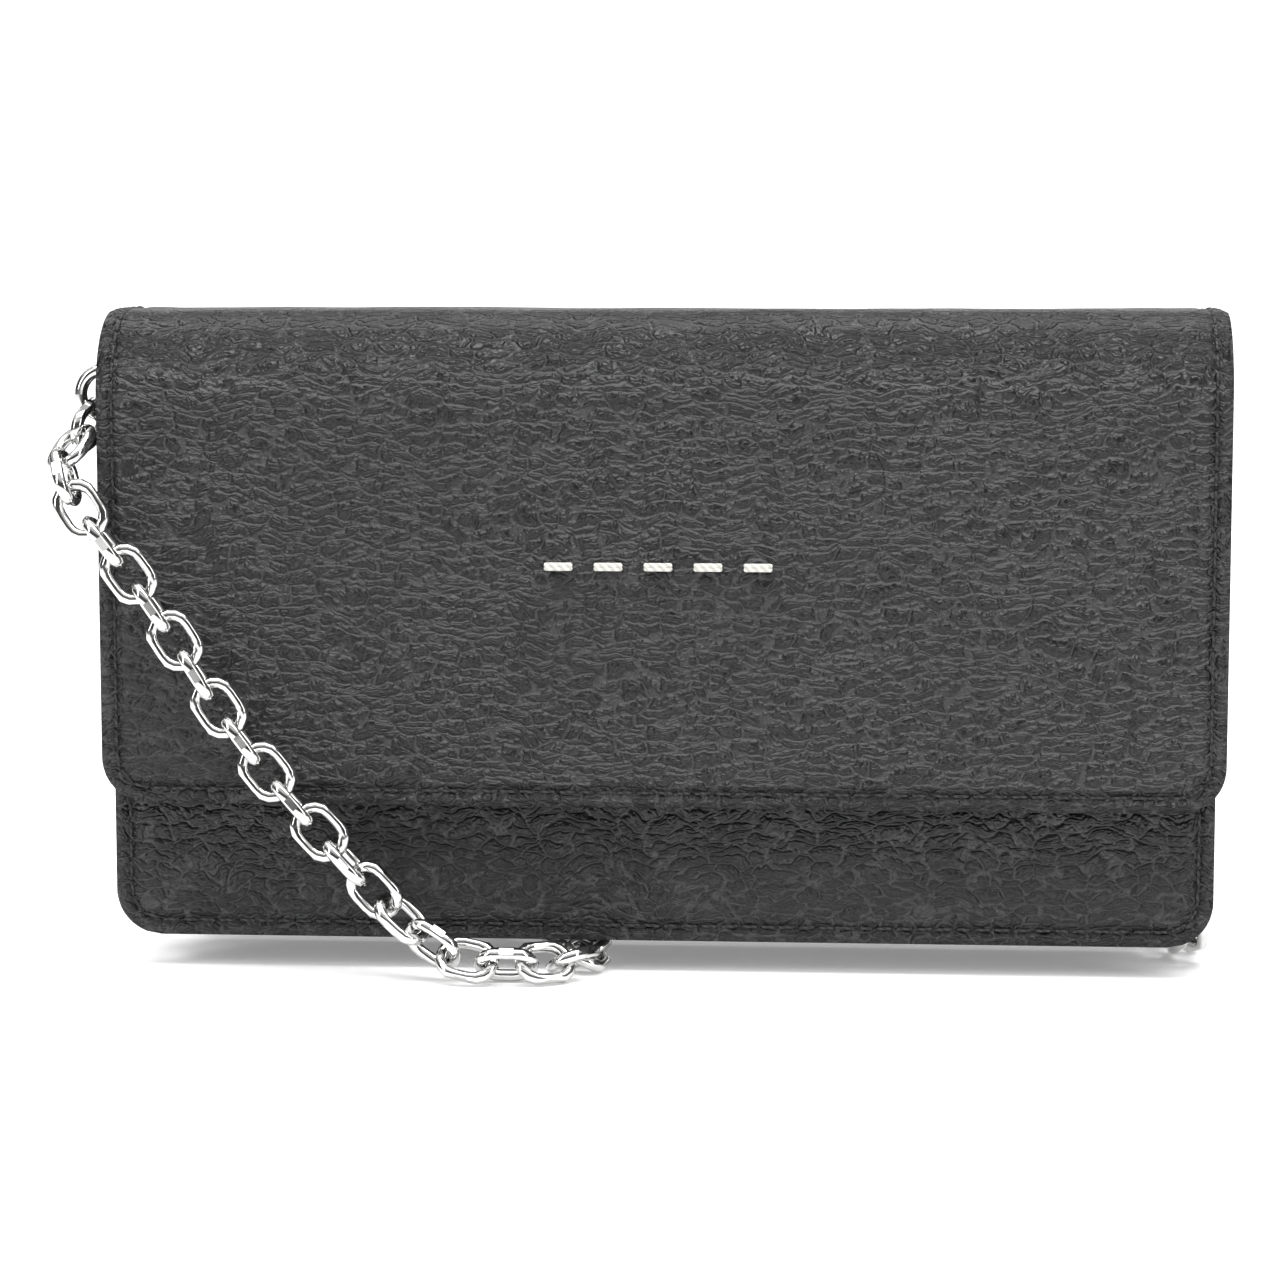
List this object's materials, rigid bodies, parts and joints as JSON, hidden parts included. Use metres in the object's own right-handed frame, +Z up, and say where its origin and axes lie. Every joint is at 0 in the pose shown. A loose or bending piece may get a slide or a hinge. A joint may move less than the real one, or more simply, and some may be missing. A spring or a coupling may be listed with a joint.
{
  "type": "chain wallet",
  "caption": "Long flap wallet of black grained leather with a magnetic snap, zip pocket, card slots and folding side gussets, on a silver cable chain strap",
  "frame": {"origin": "on the table under the middle of the wallet, halfway between its front and back faces", "axes": "+X to the wallet's right along its width, +Y to its back, +Z up"},
  "size_m": [0.2056, 0.1078, 0.1156],
  "materials": {
    "grained_leather": "shrunken pebbled grain, soft sheen",
    "smooth_leather": "smooth calf lining, satin",
    "stiffener": "pressed fibre board, matt",
    "zip_tape": "woven tape",
    "chain_metal": "polished, with flat cut facets",
    "hardware": "polished"
  },
  "bodies": {
    "core": {"bottom_panel": "grained_leather", "chain_drape": "chain_metal", "chain_hank_inner": "chain_metal", "chain_hank_middle": "chain_metal", "chain_hank_outer": "chain_metal", "chain_rise": "chain_metal", "chain_under_wallet": "chain_metal", "gusset_front_left": "grained_leather", "gusset_front_right": "grained_leather", "gusset_rear_left": "grained_leather", "gusset_rear_right": "grained_leather", "pocket_front_wall": "smooth_leather", "pocket_rear_wall": "smooth_leather", "pocket_seam_strip": "stiffener", "zip_stops": "hardware", "zip_tape_front": "zip_tape", "zip_tape_rear": "zip_tape", "zip_teeth_front": "hardware", "zip_teeth_rear": "hardware"},
    "front": {"front_leather": "grained_leather", "front_board": "stiffener", "front_lining": "smooth_leather", "snap_female": "hardware", "snap_female_washer": "hardware", "ring_tab_left": "grained_leather", "ring_tab_right": "grained_leather"},
    "back": {"back_leather": "grained_leather", "back_board": "stiffener", "back_lining": "smooth_leather", "slip_pocket": "smooth_leather", "card_slot_left_1": "smooth_leather", "card_slot_left_2": "smooth_leather", "card_slot_left_3": "smooth_leather", "card_slot_left_4": "smooth_leather", "card_slot_right_1": "smooth_leather", "card_slot_right_2": "smooth_leather", "card_slot_right_3": "smooth_leather", "card_slot_right_4": "smooth_leather"},
    "flap": {"flap_leather": "grained_leather", "flap_board": "stiffener", "flap_lining": "smooth_leather", "snap_male": "hardware", "snap_male_washer": "hardware"},
    "zip_slide": {"zip_slider": "hardware"},
    "zip_pull": {"zip_puller": "hardware"},
    "ring_l": {"ring_left": "chain_metal"},
    "ring_r": {"ring_right": "chain_metal"}
  },
  "joints": [
    {"name": "back_fan", "type": "hinge", "parent": "core", "child": "back", "pos_m": [0, 0.018, 0.0074], "axis": [-1, 0, 0], "range_deg": [0, 8], "deforming": ["gusset_rear_left", "gusset_rear_right"]},
    {"name": "front_fan", "type": "hinge", "parent": "core", "child": "front", "pos_m": [0, -0.0145, 0.0056], "axis": [1, 0, 0], "range_deg": [0, 8], "deforming": ["gusset_front_left", "gusset_front_right", "chain_rise", "chain_drape"]},
    {"name": "flap_hinge", "type": "hinge", "parent": "back", "child": "flap", "pos_m": [0, 0.012, 0.1156], "axis": [-1, 0, 0], "range_deg": [0, 180]},
    {"name": "zip_travel", "type": "slide", "parent": "core", "child": "zip_slide", "axis": [-1, 0, 0], "range_m": [0, 0.142]},
    {"name": "zip_puller_pivot", "type": "hinge", "parent": "zip_slide", "child": "zip_pull", "pos_m": [0.07175, 0.00085, 0.0946], "axis": [0, 1, 0], "range_deg": [0, 90]},
    {"name": "ring_left_swing", "type": "hinge", "parent": "front", "child": "ring_l", "pos_m": [-0.0933, -0.0093, 0.1006], "axis": [0, 0, 1], "range_deg": [-20, 20]},
    {"name": "ring_right_swing", "type": "hinge", "parent": "front", "child": "ring_r", "pos_m": [0.0933, -0.0093, 0.1006], "axis": [0, 0, 1], "range_deg": [-20, 20]}
  ],
  "couplings": [
    {"joint": "back_fan", "follows": "flap_hinge", "ratio": 0.044444},
    {"joint": "front_fan", "follows": "flap_hinge", "ratio": 0.044444}
  ]
}
